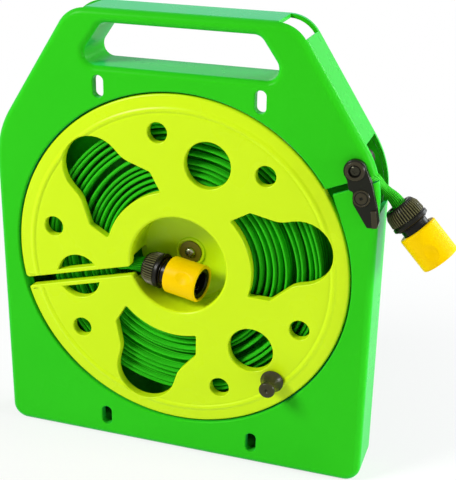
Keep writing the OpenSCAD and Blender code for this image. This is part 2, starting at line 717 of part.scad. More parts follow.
module coupling_body() {
    socket_at = coupling_l - 17;
    color(black) difference() {
        revolve([[4.5, hose_seat], [8.6, hose_seat], [10.8, hose_seat + 0.6], [10.8, nut_l + 0.3],
            [12, nut_l + 0.3], [12, nut_l + 1.2], [neck_r, nut_l + 1.8], [neck_r, shoulder_at],
            [barrel_r, shoulder_at], [barrel_r, shoulder_at + 1.2], [waist_r, shoulder_at + 1.2],
            [waist_r, barrel_at], [barrel_r, barrel_at + 0.4], [barrel_r, coupling_l - 1],
            [socket_r + 1.4, coupling_l - 1], [socket_r, coupling_l - 2.2], [socket_r, socket_at + 3.2],
            [socket_r + 2 * seal_r, socket_at + 3.2], [socket_r + 2 * seal_r, socket_at + 0.6],
            [socket_r, socket_at + 0.6],
            [socket_r, socket_at], [6, socket_at - 1], [6, hose_seat + 8], [4.5, hose_seat + 5]]);
        for (i = [0:2]) rotate(120 * i) translate([socket_r - 1, -2.2, coupling_l - 10])
            cube([6, 4.4, 5]);
    }
}

// Nut with fine grip ribs and a plain rim at its front
module clamp_nut() {
    ribs = 40;
    rim_at = nut_l - 3.4;
    color(black) difference() {
        union() {
            intersection() {
                revolve([[0, 0], [nut_r - 4.2, 0], [nut_r - 2.9, 1.3], [nut_r - 0.4, rim_at + 0.5], [0, rim_at + 0.5]]);
                linear_extrude(nut_l) polygon([for (i = [0:ribs - 1]) for (step = [0:3])
                    polar(step < 2 ? nut_r : nut_r - 1.3, 360 / ribs * (i + [0.05, 0.4, 0.55, 0.9][step]))]);
            }
            revolve([[0, rim_at], [nut_r - 0.6, rim_at], [nut_r, rim_at + 0.7], [nut_r, nut_l - 0.6],
                [nut_r - 0.6, nut_l], [0, nut_l]]);
        }
        translate([0, 0, -1]) cylinder(r = hose_r + 0.6, h = 4);
        revolve([[0, 1.5], [9.4, 1.5], [10.9, 8.8], [10.9, nut_l + 1], [0, nut_l + 1]]);
    }
}

// Slotted ring that the nut presses onto the hose
module grip_ring() {
    color(rubber) difference() {
        revolve([[hose_r + 0.15, 1.8], [9.3, 1.8], [10.6, hose_seat - 0.3], [hose_r + 0.15, hose_seat - 0.3]]);
        for (i = [0:5]) rotate(60 * i) translate([hose_r - 1, -0.5, 1]) cube([6, 1, 5.5]);
    }
}

// Sleeve: a lip at its rear, a chamber for the spring and a ledge that the spring pushes on
module sliding_sleeve() {
    inner_r = barrel_r + move_gap;
    ledge_at = barrel_at - 2.2;
    color(yellow) difference() {
        revolve([[neck_r + move_gap, sleeve_at], [sleeve_r - 1.4, sleeve_at], [sleeve_r, sleeve_at + 1.4],
            [sleeve_r, coupling_l - 0.8], [sleeve_r - 0.8, coupling_l], [inner_r + 0.4, coupling_l],
            [inner_r, coupling_l - 0.6], [inner_r, ledge_at + 1.8], [waist_r + move_gap, ledge_at + 1.8],
            [waist_r + move_gap, ledge_at], [inner_r, ledge_at], [inner_r, sleeve_at + 1.6],
            [neck_r + move_gap, sleeve_at + 1.6]]);
        // Shallow dimples for the fingers
        for (i = [0:2]) rotate(120 * i) translate([sleeve_r + 11, 0, sleeve_at + sleeve_l * 0.62]) sphere(r = 12);
    }
}

// Spring between the body's shoulder and the sleeve's ledge
spring_wire = 0.5;
spring_turns = 3.5;
spring_steps = 16;
module sleeve_spring() {
    r = (waist_r + barrel_r + move_gap) / 2;
    low = shoulder_at + 1.2 + spring_wire + 0.2;
    high = barrel_at - 2.2 - spring_wire - 0.2;
    count = spring_turns * spring_steps;
    rings = [for (i = [0:count])
        let (a = 360 * i / spring_steps)
        [for (k = [0:5]) let (q = polar(spring_wire, 60 * k))
            concat(polar(r + q.x, a), low + (high - low) * i / count + q.y)]];
    last = len(rings) - 1;
    faces = concat(
        [for (i = [0:last - 1]) for (j = [0:5]) for (half = [0, 1])
            half == 0 ? [i * 6 + j, i * 6 + (j + 1) % 6, (i + 1) * 6 + (j + 1) % 6]
                : [i * 6 + j, (i + 1) * 6 + (j + 1) % 6, (i + 1) * 6 + j]],
        [[5, 4, 3, 2, 1, 0]],
        [[for (j = [0:5]) last * 6 + j]]);
    color(steel) polyhedron([for (ring = rings) each ring], faces);
}

module locking_claws() {
    color(steel) for (i = [0:2]) rotate(120 * i) translate([socket_r + 0.15, -2, coupling_l - 9.8])
        cube([3.2, 4, 4.6]);
}

module seal_ring() {
    color(rubber) translate([0, 0, coupling_l - 17 + 1.9])
        rotate_extrude() translate([socket_r + seal_r - run_gap, 0]) circle(r = seal_r, $fn = 24);
}

module inner_coupling_body() { place_coupling(inner_at, inner_way, inner_roll) coupling_body(); }
module inner_clamp_nut() { place_coupling(inner_at, inner_way, inner_roll) clamp_nut(); }
module inner_grip_ring() { place_coupling(inner_at, inner_way, inner_roll) grip_ring(); }
module inner_sliding_sleeve() { place_coupling(inner_at, inner_way, inner_roll) sliding_sleeve(); }
module inner_sleeve_spring() { place_coupling(inner_at, inner_way, inner_roll) sleeve_spring(); }
module inner_locking_claws() { place_coupling(inner_at, inner_way, inner_roll) locking_claws(); }
module inner_seal_ring() { place_coupling(inner_at, inner_way, inner_roll) seal_ring(); }
module outer_coupling_body() { place_coupling(outer_at, outer_way, outer_roll) coupling_body(); }
module outer_clamp_nut() { place_coupling(outer_at, outer_way, outer_roll) clamp_nut(); }
module outer_grip_ring() { place_coupling(outer_at, outer_way, outer_roll) grip_ring(); }
module outer_sliding_sleeve() { place_coupling(outer_at, outer_way, outer_roll) sliding_sleeve(); }
module outer_sleeve_spring() { place_coupling(outer_at, outer_way, outer_roll) sleeve_spring(); }
module outer_locking_claws() { place_coupling(outer_at, outer_way, outer_roll) locking_claws(); }
module outer_seal_ring() { place_coupling(outer_at, outer_way, outer_roll) seal_ring(); }

case_shell();
back_cover();
case_screws();
reel_drum();
axle_washer();
axle_screw();
winding_knob();
knob_pin();
hose_winding();
hose_outlet();
upper_roller();
lower_roller();
upper_roller_pin();
lower_roller_pin();
gate_lever();
lever_screw();
inner_coupling_body();
inner_clamp_nut();
inner_grip_ring();
inner_sliding_sleeve();
inner_sleeve_spring();
inner_locking_claws();
inner_seal_ring();
outer_coupling_body();
outer_clamp_nut();
outer_grip_ring();
outer_sliding_sleeve();
outer_sleeve_spring();
outer_locking_claws();
outer_seal_ring();
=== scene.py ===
from math import acos, atan2, cos, degrees, pi, radians, sin, tan
import bmesh
import bpy
from mathutils import Matrix, Vector


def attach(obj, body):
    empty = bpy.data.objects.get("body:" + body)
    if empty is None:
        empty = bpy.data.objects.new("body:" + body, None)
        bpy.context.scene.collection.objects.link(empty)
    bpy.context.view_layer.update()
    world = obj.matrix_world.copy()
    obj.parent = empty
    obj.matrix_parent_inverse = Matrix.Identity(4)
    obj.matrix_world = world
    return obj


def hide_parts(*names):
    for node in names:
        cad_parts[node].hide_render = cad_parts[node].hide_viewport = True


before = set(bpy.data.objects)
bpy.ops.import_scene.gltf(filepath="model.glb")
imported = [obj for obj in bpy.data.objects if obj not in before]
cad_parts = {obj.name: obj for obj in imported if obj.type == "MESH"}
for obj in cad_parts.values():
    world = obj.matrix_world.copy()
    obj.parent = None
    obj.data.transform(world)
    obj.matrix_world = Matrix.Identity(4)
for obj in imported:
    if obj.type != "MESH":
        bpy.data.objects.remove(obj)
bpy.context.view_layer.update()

# Camera, lamps and floor. The case faces -Y and stands on z = 0, and the camera looks down on it
# from the front right, as the photograph does. Pale ground and pale air all round.
scene = bpy.context.scene
scene.view_settings.view_transform = "Standard"
eye = Vector((0.26678, -0.72941, 0.49184))
line_of_sight = Vector((-0.2814, 0.8844, -0.3723)).normalized()
to_the_right = Vector((0.9508, 0.3099, 0.0175)).normalized()
upwards = (-line_of_sight).cross(to_the_right)
camera = bpy.data.objects.new("camera", bpy.data.cameras.new("camera"))
scene.collection.objects.link(camera)
camera.matrix_world = Matrix.Translation(eye) @ Matrix(
    (to_the_right, upwards, -line_of_sight)).transposed().to_4x4()
camera.data.sensor_fit = "VERTICAL"
camera.data.sensor_height = 36
focal_length, photo_height = 1062.7, 480  # both in the photograph's pixels
camera.data.lens = camera.data.sensor_height * focal_length / photo_height
camera.data.clip_start = 0.01
scene.camera = camera


def srgb(red, green, blue):
    """A colour as it should look on the screen, from 0 to 255, as the shader wants it."""
    return tuple(c / 255 / 12.92 if c <= 10 else ((c / 255 + 0.055) / 1.055) ** 2.4
                 for c in (red, green, blue)) + (1,)


def link(tree, *pairs):
    """Links the first socket of each pair to the second."""
    for out, into in pairs:
        tree.links.new(out, into)


def node(tree, kind, **sockets):
    """New shader node with its sockets set, where _ stands for a space in a socket's name."""
    made = tree.nodes.new("ShaderNode" + kind)
    for name, value in sockets.items():
        made.inputs[name.replace("_", " ")].default_value = value
    return made


def seen_directly(tree):
    """1 for camera, mirror and see-through rays, and 0 for the light that falls on the object."""
    paths, mirrored, any_of_them = (node(tree, kind) for kind in ("LightPath", "Math", "Math"))
    mirrored.operation = any_of_them.operation = "MAXIMUM"
    link(tree, (paths.outputs["Is Glossy Ray"], mirrored.inputs[0]),
         (paths.outputs["Is Transmission Ray"], mirrored.inputs[1]),
         (paths.outputs["Is Camera Ray"], any_of_them.inputs[0]),
         (mirrored.outputs[0], any_of_them.inputs[1]))
    return any_of_them.outputs[0]


def new_finish(name):
    """New material, with its node tree and its shader."""
    finish = bpy.data.materials.new(name)
    finish.use_nodes = True
    return finish, finish.node_tree, finish.node_tree.nodes["Principled BSDF"]


air = bpy.data.worlds.new("pale air")
scene.world = air
air.use_nodes = True
tree = air.node_tree
ambient = tree.nodes["Background"]
ambient.inputs["Color"].default_value = (0.93, 0.97, 1, 1)
ambient.inputs["Strength"].default_value = 0.17
backdrop = node(tree, "Background", Color=(0.98, 0.985, 0.99, 1))
either = node(tree, "MixShader")
link(tree, (seen_directly(tree), either.inputs[0]), (ambient.outputs[0], either.inputs[1]),
     (backdrop.outputs[0], either.inputs[2]), (either.outputs[0], tree.nodes["World Output"].inputs[0]))

for name, place, aim, across, watts, tone in (
        ("softbox high on the left", (-1.15, -1.15, 1.3), (0, 0, 0.18), 0.7, 37, (1, 0.99, 0.97)),
        ("window on the right", (1.4, 0, 0.5), (0.1, 0, 0.18), 0.6, 18, (1, 1, 1)),
        ("soft light behind", (1.0, 1.1, 0.9), (0.05, 0, 0.2), 0.9, 15, (0.9, 0.97, 1))):
    lamp = bpy.data.objects.new(name, bpy.data.lights.new(name, "AREA"))
    lamp.data.shape, lamp.data.size, lamp.data.energy, lamp.data.color = "DISK", across, watts, tone
    lamp.location = place
    lamp.rotation_euler = (Vector(aim) - Vector(place)).to_track_quat("-Z", "Y").to_euler()
    scene.collection.objects.link(lamp)

ground_mesh = bmesh.new()
bmesh.ops.create_grid(ground_mesh, x_segments=1, y_segments=1, size=6)
ground = bpy.data.objects.new("floor", bpy.data.meshes.new("floor"))
ground_mesh.to_mesh(ground.data)
ground_mesh.free()
scene.collection.objects.link(ground)
chalk, tree, powder = new_finish("chalk white floor")
powder.inputs["Base Color"].default_value = (0.86, 0.86, 0.86, 1)
powder.inputs["Roughness"].default_value = 0.9
powder.inputs["Specular IOR Level"].default_value = 0.1
# Seen directly it is nearly white, so that only the object's soft shadow shows, and white farther off
where, reach, share, white, either = (node(tree, kind) for kind in (
    "TexCoord", "VectorMath", "Math", "Emission", "MixShader"))
reach.operation, share.operation = "LENGTH", "MULTIPLY"
fade = node(tree, "MapRange", From_Min=0.25, From_Max=0.75, To_Min=0.75, To_Max=1)
link(tree, (where.outputs["Object"], reach.inputs[0]), (reach.outputs["Value"], fade.inputs["Value"]),
     (fade.outputs[0], share.inputs[0]), (seen_directly(tree), share.inputs[1]),
     (share.outputs[0], either.inputs[0]), (powder.outputs[0], either.inputs[1]),
     (white.outputs[0], either.inputs[2]), (either.outputs[0], tree.nodes["Material Output"].inputs[0]))
ground.data.materials.append(chalk)


# Case shell: the front moulding, one piece of glossy green polypropylene 3 mm thick, open at the
# back, with rounded front edges, a grip opening, a lip round the reel and slots for wall hooks.
# All sizes are millimetres, and depths are counted from the case's front face.
def round_edge(radius, depth, way, steps=5):
    """Steps of (growth, depth) round a front edge: way is -1 on a solid and 1 on a hole."""
    turns = [pi / 2 * (1 - k / steps) for k in range(steps + 1)]
    return [(way * radius * (1 - cos(a)), depth + radius * (1 - sin(a))) for a in turns]


def moulded(corners, rings, steps=6):
    """Solid between outlines with round corners (x, z, radius), each grown and set at a depth."""
    mesh = bmesh.new()
    points = [Vector((x, 0, z)) for x, z, _ in corners]
    loops = []
    for growth, depth in rings:
        arcs = []
        for here, before, after, (_, _, radius) in zip(
                points, points[-1:] + points, points[1:] + points[:1], corners):
            back, ahead = (before - here).normalized(), (after - here).normalized()
            half = back.angle(ahead) / 2
            way = 1 if back.z * ahead.x - back.x * ahead.z > 0 else -1
            centre = here + (back + ahead).normalized() * radius / sin(half)
            start = centre + (here + back * radius / tan(half) - centre) * (1 + way * growth / radius)
            first = mesh.verts.new(start + Vector((0, depth, 0)))
            arc = bmesh.ops.spin(mesh, geom=[first], cent=centre, axis=(0, -way, 0),
                                 angle=pi - 2 * half, steps=steps)
            arcs.append((first, [v for v in arc["geom_last"] if isinstance(v, bmesh.types.BMVert)][0]))
        for arc, following in zip(arcs, arcs[1:] + arcs[:1]):
            mesh.edges.new((arc[1], following[0]))
        used = {e for loop in loops for e in loop}
        loops.append([e for e in mesh.edges if e not in used])
    for loop, following in zip(loops, loops[1:]):
        bmesh.ops.bridge_loops(mesh, edges=loop + following)
    for loop in (loops[0], loops[-1]):
        bmesh.ops.contextual_create(mesh, geom=loop)
    bmesh.ops.remove_doubles(mesh, verts=mesh.verts, dist=1e-4)
    bmesh.ops.recalc_face_normals(mesh, faces=mesh.faces)
    return mesh


axle = (0, 165.5)


def turned(profile, at=axle, steps=128):
    """Ring or disc turned about an axis through the case, from (radius, depth) points."""
    mesh = bmesh.new()
    points = [mesh.verts.new((at[0] + r, depth, at[1])) for r, depth in profile]
    for pair in zip(points, points[1:] + points[:1] if profile[0][0] else points[1:]):
        mesh.edges.new(pair)
    bmesh.ops.spin(mesh, geom=mesh.verts[:] + mesh.edges[:], cent=(at[0], 0, at[1]), axis=(0, 1, 0),
                   angle=2 * pi, steps=steps, use_merge=True)
    bmesh.ops.remove_doubles(mesh, verts=mesh.verts, dist=1e-3)
    bmesh.ops.recalc_face_normals(mesh, faces=mesh.faces)
    return mesh


def rod(radius, front, back, bore=0):
    """Profile of a plain rod between two depths, or of a ring where it has a bore."""
    return [(bore, front), (radius, front), (radius, back), (bore, back)]


def oblong(left, low, right, high, radius):
    """Corners of a rectangle, all rounded to one radius."""
    return [(left, low, radius), (right, low, radius), (right, high, radius), (left, high, radius)]


def opening(rounding, back=8, steps=4, front=-1):
    """Rings of a cutter for an opening whose front edge is rounded."""
    return [(rounding, front)] + round_edge(rounding, 0, 1, steps) + [(0, back)]


def round_opening(radius, rounding, back=8, front=-1):
    """Profile of a cutter for a round opening whose front edge is rounded."""
    return [(0, front)] + [(radius + g, d) for g, d in opening(rounding, back, 4, front)] + [(0, back)]


def bare(mesh, name="tool"):
    """Makes the plain object of a mesh."""
    thing = bpy.data.objects.new(name, bpy.data.meshes.new(name))
    mesh.to_mesh(thing.data)
    mesh.free()
    scene.collection.objects.link(thing)
    return thing


def cut_and_join(mesh, *steps):
    """Joins tools to a mesh ("UNION") or cuts them out of it ("DIFFERENCE"), in the order given."""
    thing = bare(mesh)
    tools = []
    for operation, tool in steps:
        step = thing.modifiers.new("", "BOOLEAN")
        step.operation, step.solver, step.object = operation, "MANIFOLD", bare(tool)
        tools.append(step.object)
    shaped = bpy.data.meshes.new_from_object(thing.evaluated_get(bpy.context.evaluated_depsgraph_get()))
    result = bmesh.new()
    result.from_mesh(shaped)
    for used in [thing] + tools:
        bpy.data.objects.remove(used)
    return result


mid_depth = 20  # half of the case's depth, where the shared frame has its y = 0


def piece(name, mesh, body, finish, stands_for, sharp=38, broad_faces=False):
    """Makes the object of a mesh in millimetres, in the finish and on the body that it rides on."""
    bmesh.ops.transform(mesh, verts=mesh.verts,
                        matrix=Matrix.Scale(0.001, 4) @ Matrix.Translation((0, -mid_depth, 0)))
    thing = bare(mesh, name)
    thing.data.shade_smooth()
    thing.data.set_sharp_from_angle(angle=radians(sharp))
    if broad_faces:
        thing.modifiers.new("even shading", "WEIGHTED_NORMAL").keep_sharp = True
    thing.data.materials.append(finish)
    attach(thing, body)
    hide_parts(*stands_for)
    return thing


def plastic(name, colour, cloud, rough, grain=0.05, glow=0.0, shine=1.3):
    """Moulded plastic: colour slightly clouded, a fine tool grain and uneven gloss."""
    finish, tree, shader = new_finish(name)
    where = node(tree, "TexCoord")
    clouds, specks = node(tree, "TexNoise", Scale=14, Detail=4), node(tree, "TexNoise", Scale=1500, Detail=2)
    tint = node(tree, "Mix")
    tint.data_type = "RGBA"
    tint.inputs["A"].default_value, tint.inputs["B"].default_value = colour, cloud
    gloss = node(tree, "MapRange", To_Min=rough - 0.06, To_Max=rough + 0.08)
    relief = node(tree, "Bump", Strength=grain, Distance=0.0004)
    link(tree, (where.outputs["Object"], clouds.inputs["Vector"]),
         (where.outputs["Object"], specks.inputs["Vector"]), (clouds.outputs[0], tint.inputs["Factor"]),
         (tint.outputs["Result"], shader.inputs["Base Color"]), (clouds.outputs[0], gloss.inputs["Value"]),
         (gloss.outputs[0], shader.inputs["Roughness"]), (specks.outputs[0], relief.inputs["Height"]),
         (relief.outputs[0], shader.inputs["Normal"]))
    shader.inputs["IOR"].default_value = shine
    shader.inputs["Subsurface Weight"].default_value = glow
    shader.inputs["Subsurface Radius"].default_value = (0.004, 0.004, 0.002)
    return finish


case_green = plastic("case green polypropylene", srgb(48, 196, 22), srgb(41, 187, 17), 0.27, shine=1.12)
# A bluish sheen tint is painted reflection: it stands in for a bluish sky seen on the case's grazing faces
shader = case_green.node_tree.nodes["Principled BSDF"]
shader.inputs["Sheen Weight"].default_value, shader.inputs["Sheen Roughness"].default_value = 0.3, 0.4
shader.inputs["Sheen Tint"].default_value = (0.03, 0.55, 0.8, 1)
case_depth, wall = 40, 3
inside_wall, past_back = wall / 2, case_depth + 1  # where inner forms start, and where cutters end
half_width, shoulder_height, half_top, case_height = 153, 256.8, 87.1, 359.5
case_corners = [(-half_width, 0, 13), (half_width, 0, 13), (half_width, shoulder_height, 75),
                (half_top, case_height, 26), (-half_top, case_height, 26), (-half_width, shoulder_height, 75)]
grip_corners = [(-75, 316.8, 9), (75, 316.8, 9), (75, 328.8, 9), (61, 348.8, 9), (-61, 348.8, 9),
                (-75, 328.8, 9)]
reel_opening = 137.2
screw_places = [(side * x, z) for x, z in ((139, 14), (146, 153.5), (106, 267)) for side in (-1, 1)]
screw_bore = 1.65
pin_places, pin_bore = [(135, 260), (141, 240.5)], 2.55
slot_across, slot_low, slot_high = 63.2, 19.2, 301.6
slot_places = [(x, z) for x in (-slot_across, slot_across) for z in (slot_low, slot_high)]


def wall_slot(x, z, wide=8.6, tall=17):
    """Corners of an upright slot with round ends."""
    return oblong(x - wide / 2, z - tall / 2, x + wide / 2, z + tall / 2, wide / 2 - 0.01)


hollow = [(g - wall, d) for g, d in round_edge(3, wall, -1)] + [(-wall, past_back)]
reel_lip = [(reel_opening, 0.5), (reel_opening + 2, 0.5), (reel_opening + 2, 9), (reel_opening - 2.7, 9),
            (reel_opening - 2.7, 7.5), (reel_opening, 7.5)]
screw_boss = [(0, inside_wall), (5, inside_wall), (5, 36.2), (4.2, 37), (0, 37)]
steps = [("DIFFERENCE", moulded(case_corners, hollow)),
         ("UNION", moulded(grip_corners, [(wall, inside_wall), (wall, case_depth)])),
         ("UNION", turned(reel_lip))]
steps += [("UNION", turned(screw_boss, at, 32)) for at in screw_places]
steps += [("DIFFERENCE", turned(rod(screw_bore, 22, past_back), at, 24)) for at in screw_places]
steps += [("UNION", turned(rod(5, inside_wall, 6.7), at, 32)) for at in pin_places]
steps += [("UNION", moulded(wall_slot(*at), [(2, inside_wall), (2, 7)])) for at in slot_places]
steps += [("DIFFERENCE", turned(round_opening(reel_opening, 1.3, 7.5))),
          ("DIFFERENCE", moulded(grip_corners, opening(5, past_back, 5)))]
steps += [("DIFFERENCE", moulded(wall_slot(*at), opening(1))) for at in slot_places]
steps += [("DIFFERENCE", turned(rod(pin_bore, -1, 8), at, 24)) for at in pin_places]
# Slot that the hose is laid through, a wedge below it along the reel, and the gap in the ledge
tilt = radians(22.3)
along, beside = Vector((cos(tilt), sin(tilt))), Vector((-sin(tilt), cos(tilt)))
gate_middle = Vector((138, 249.55))
gate_slot = [(*(gate_middle + along * i + beside * j), r) for i, j, r in oblong(-32, -2.6, 28, 2.6, 0.3)]


def about_axle(r, angle):
    """Place at a radius and an angle about the reel's axle."""
    return (r * cos(radians(angle)), axle[1] + r * sin(radians(angle)))


wedge = [(*about_axle(r, a), 0.05) for r, a in (
    (133.2, 18), (137.1, 18), (138.1, 25), (138.6, 28.4), (140, 31.6), (140, 32.4), (133.2, 32.4))]
ledge_gap = [(*axle, 0.1), (*about_axle(149.2, 20), 0.1), (*about_axle(149.2, 54), 0.1)]
steps += [("DIFFERENCE", moulded(gate_slot, opening(0.9), 2)),
          ("DIFFERENCE", moulded(wedge, opening(0.4, steps=3), 2)),
          ("DIFFERENCE", moulded(ledge_gap, [(0, 7), (0, 9.5)], 1))]
# Openings across the two shoulders, and the opening in the right side that the hose leaves through
corner = Vector((half_top, case_height))
slope = (Vector((half_width, shoulder_height)) - corner).normalized()
outwards = Vector((-slope.y, slope.x))
run = 26 * tan(acos(slope.x) / 2) - 0.8
high, low = corner - Vector((run, 0)), corner + run * slope
for side in (-1, 1):
    ends = (high - Vector((0, 9)), low - 10 * outwards, low + 26 * outwards, high + Vector((0, 5)))
    shoulder = [(side * p.x, p.y, 0.5) for p in ends]
    steps.append(("DIFFERENCE", moulded(shoulder[::side], [(0, 3.5), (0, 36.5)], 2)))
steps.append(("DIFFERENCE", moulded(oblong(131, 226.4, 171, 277, 1.5), [(0, 7), (0, 37)], 3)))
outside = moulded(case_corners, round_edge(6, 0, -1, 7) + [(0, case_depth)], 10)
piece("front_shell", cut_and_join(outside, *steps), "case", case_green, ["case_shell"],
      broad_faces=True)

# Back cover: a flat green moulding screwed into the shell from behind. It carries the axle post, a
# ring that keeps the drum in line, the raised ring that guides the hose, and the roller pins' seats.
hose_guide = [(59, 32), (125, 32), (125, 39.5), (124.5, 40), (122.5, 40), (122, 39.5), (122, 35), (62, 35),
              (62, 39.5), (61.5, 40), (59.5, 40), (59, 39.5)]
axle_post = [(0, 31.2), (6.6, 31.2), (7, 31.6), (7, 38), (0, 38)]
axle_bore, before_cover = 2.05, 36
through_cover = [(0, before_cover), (0, past_back)]
screw_seat = [(0, before_cover), (screw_bore, before_cover), (screw_bore, 38.2), (3.25, 38.2), (3.25, 39.7),
              (3.55, case_depth), (3.55, past_back), (0, past_back)]
steps = [("DIFFERENCE", moulded(oblong(-160, 276, 160, 370, 1), through_cover, 1)),
         ("DIFFERENCE", turned(rod(122, before_cover, past_back, 62))),
         ("UNION", turned(hose_guide)),
         ("UNION", turned(axle_post, steps=48)),
         ("UNION", turned(rod(15, 34.6, 38, 13), steps=64))]
steps += [("UNION", turned(rod(5.5, 32.5, 38), at, 32)) for at in pin_places]
steps.append(("DIFFERENCE", turned(rod(axle_bore, 30, 37), steps=24)))
steps += [("DIFFERENCE", turned(screw_seat, at, 32)) for at in screw_places]
steps += [("DIFFERENCE", turned(rod(pin_bore, 31, 37), at, 24)) for at in pin_places]
steps += [("DIFFERENCE", moulded(wall_slot(x, slot_low), through_cover)) for x in (-slot_across, slot_across)]
cover_edge = [(-3.3, 37), (-3.3, 39.4), (-3.45, 39.8), (-3.9, 40)]
piece("rear_cover", cut_and_join(moulded(case_corners, cover_edge, 10), *steps), "case", case_green,
      ["back_cover"], broad_faces=True)


# Case screws: six zinc-plated pan-head screws with a cross recess, driven from behind through the
# cover into the shell's bosses.
def metal(name, colour, rough):
    """Plated or blackened steel, its gloss broken up by fine streaks."""
    finish, tree, shader = new_finish(name)
    where, spread = node(tree, "TexCoord"), node(tree, "Mapping", Scale=(1, 12, 1))
    streaks = node(tree, "TexNoise", Scale=60, Detail=5)
    shade = node(tree, "Mix")
    shade.data_type = "RGBA"
    shade.inputs["A"].default_value = colour
    shade.inputs["B"].default_value = tuple(0.7 * c for c in colour[:3]) + (1,)
    gloss = node(tree, "MapRange", To_Min=rough - 0.08, To_Max=rough + 0.14)
    link(tree, (where.outputs["Object"], spread.inputs["Vector"]),
         (spread.outputs[0], streaks.inputs["Vector"]), (streaks.outputs[0], shade.inputs["Factor"]),
         (shade.outputs["Result"], shader.inputs["Base Color"]),
         (streaks.outputs[0], gloss.inputs["Value"]), (gloss.outputs[0], shader.inputs["Roughness"]))
    shader.inputs["Metallic"].default_value = 1
    return finish


def cross_recess(at, front, back, size=2.6, wide=0.9):
    """Cutters for a cross recess in a screw's head."""
    x, z = at
    return [("DIFFERENCE", moulded(oblong(x - a, z - b, x + a, z + b, 0.15), [(0, front), (0, back)], 2))
            for a, b in ((size / 2, wide / 2), (wide / 2, size / 2))]


zinc = metal("zinc plated steel", (0.62, 0.62, 0.56, 1), 0.24)
pan_head_screw = [(0, 25), (1.6, 26), (1.6, 38.2), (3.2, 38.2), (3.2, 39.2), (2.9, 39.6), (2.2, 39.85),
                  (0, 39.9)]
screws = bmesh.new()
for at in screw_places:
    screw = cut_and_join(turned(pan_head_screw, at, 32), *cross_recess(at, 38.9, past_back))
    loose = bpy.data.meshes.new("screw")
    screw.to_mesh(loose)
    screws.from_mesh(loose)
piece("cover_screws", screws, "case", zinc, ["case_screws"], 30)

# Drum: one lime moulding of flange, well, core and hub. Three windows and nine round holes show the
# wound hose, each with a lip behind its edge. A slot takes the hose's inner end out to the rim.
lime = plastic("lime polypropylene", srgb(204, 236, 20), srgb(197, 229, 12), 0.27, glow=0.05, shine=1.26)
sector_angles = [74.2 - 120 * k for k in range(3)]
window_angles = [a + 60 for a in sector_angles]
slot_angle = sector_angles[2]


def swung(corners, angle):
    """Corners drawn along +x from the axle, swung to their angle."""
    c, s = cos(radians(angle)), sin(radians(angle))
    return [(u * c - v * s, axle[1] + u * s + v * c, r) for u, v, r in corners]


window = [(51.4, -30.9, 1.2), (68.5, -35.6, 3), (89.5, -25.2, 22), (125.4, -25.2, 25.19),
          (125.4, 25.2, 25.19), (89.5, 25.2, 22), (68.5, 35.6, 3), (51.4, 30.9, 1.2), (60, 16.64, 59),
          (60, -16.64, 59)]
lip_front, lip_back = 1.25, 7
holes = [(about_axle(87.4, a), 18.3) for a in sector_angles]
holes += [(about_axle(106.5, a + s * 24.5), 8) for a in sector_angles for s in (-1, 1)]
knob_place = about_axle(117, -47)
well_edge = [(39.4, 2.4), (39.6, 1.4), (40.2, 0.6), (41, 0.15), (42, 0)]
groove_and_bead = [(119.8, 0), (120.6, 0.3), (121.3, 0.4), (121.8, 0.2), (122.3, -0.2), (123, -0.6),
                   (123.9, -0.7), (124.8, -0.5), (125.5, -0.1), (126.2, 0.3), (127.2, 0.45)]
rim = [(134.1, 1), (134.9, 1.3), (135.5, 1.9), (135.7, 2.7), (135.7, 7), (134, 7), (134, 3.2), (124, 2.8)]
core_wall = [(56, 2.5), (56, 30.6), (55.6, 31), (53.4, 31), (53, 30.6), (53, 2.5)]
well_and_hub = [(42.4, 2.5), (42.4, 34), (11, 34), (11, 36.7), (6, 36.7), (6, 31.5), (10, 31.5), (10, 30.6),
                (10.4, 30.2), (11.6, 30.2), (12, 30.4), (12.6, 31.5), (36.6, 31.5), (38.2, 31), (39.1, 30),
                (39.4, 28.7)]
drum = turned(well_edge + groove_and_bead + rim + core_wall + well_and_hub, steps=192)
steps = [("UNION", moulded(swung(window, a), [(2, lip_front), (2, lip_back)], 8)) for a in window_angles]
steps += [("UNION", turned(rod(r + 2, lip_front, lip_back), at, 64)) for at, r in holes]
steps += [("DIFFERENCE", moulded(swung(window, a), opening(0.9, front=-2), 8)) for a in window_angles]
steps += [("DIFFERENCE", turned(round_opening(r, 0.9, front=-2), at, 64)) for at, r in holes]
# Bars beside the hose slot, the knob's boss and seat, and ribs between the well and the core
steps += [("UNION", moulded(swung(oblong(41.6, -7.25, 132, 7.25, 0.5), slot_angle),
                            round_edge(0.8, 0.02, -1, 3) + [(0, lip_back)], 2)),
          ("UNION", turned(rod(6.5, lip_front, lip_back), knob_place, 32)),
          ("UNION", turned(rod(4.7, -0.7, lip_front), knob_place, 32))]
steps += [("UNION", moulded(swung(oblong(40.4, -1, 54.4, 1, 0.2), a), [(0, lip_front), (0, 30.5)], 1))
          for a in sector_angles[:2] + window_angles]
# Bore for the post, bore for the knob's pin, and the hose slot, in the flange and through both walls
hose_slot = [(39.4, -3.75, 2.5), (136, -3.75, 4.5), (136, -9.25, 0.1), (144, -9.25, 0.1), (144, 9.25, 0.1),
             (136, 9.25, 0.1), (136, 3.75, 4.5), (39.4, 3.75, 2.5), (39.4, 7.25, 0.1), (35.4, 7.25, 0.1),
             (35.4, -7.25, 0.1), (39.4, -7.25, 0.1)]
knob_bore = [(0, -2), (pin_bore, -2), (pin_bore, 5.6), (4.15, 5.6), (4.15, 8), (0, 8)]
steps += [("DIFFERENCE", turned(rod(7.05, 28.5, 37), steps=48)),
          ("DIFFERENCE", turned(knob_bore, knob_place, 32)),
          ("DIFFERENCE", moulded(swung(hose_slot, slot_angle), opening(0.8, steps=3, front=-2))),
          ("DIFFERENCE", moulded(swung(oblong(37.4, -10.5, 58, 9.5, 0.3), slot_angle),
                                 [(0, 7.5), (0, 31.3)], 2))]
piece("pierced_drum", cut_and_join(drum, *steps), "reel", lime, ["reel_drum"],
      broad_faces=True)

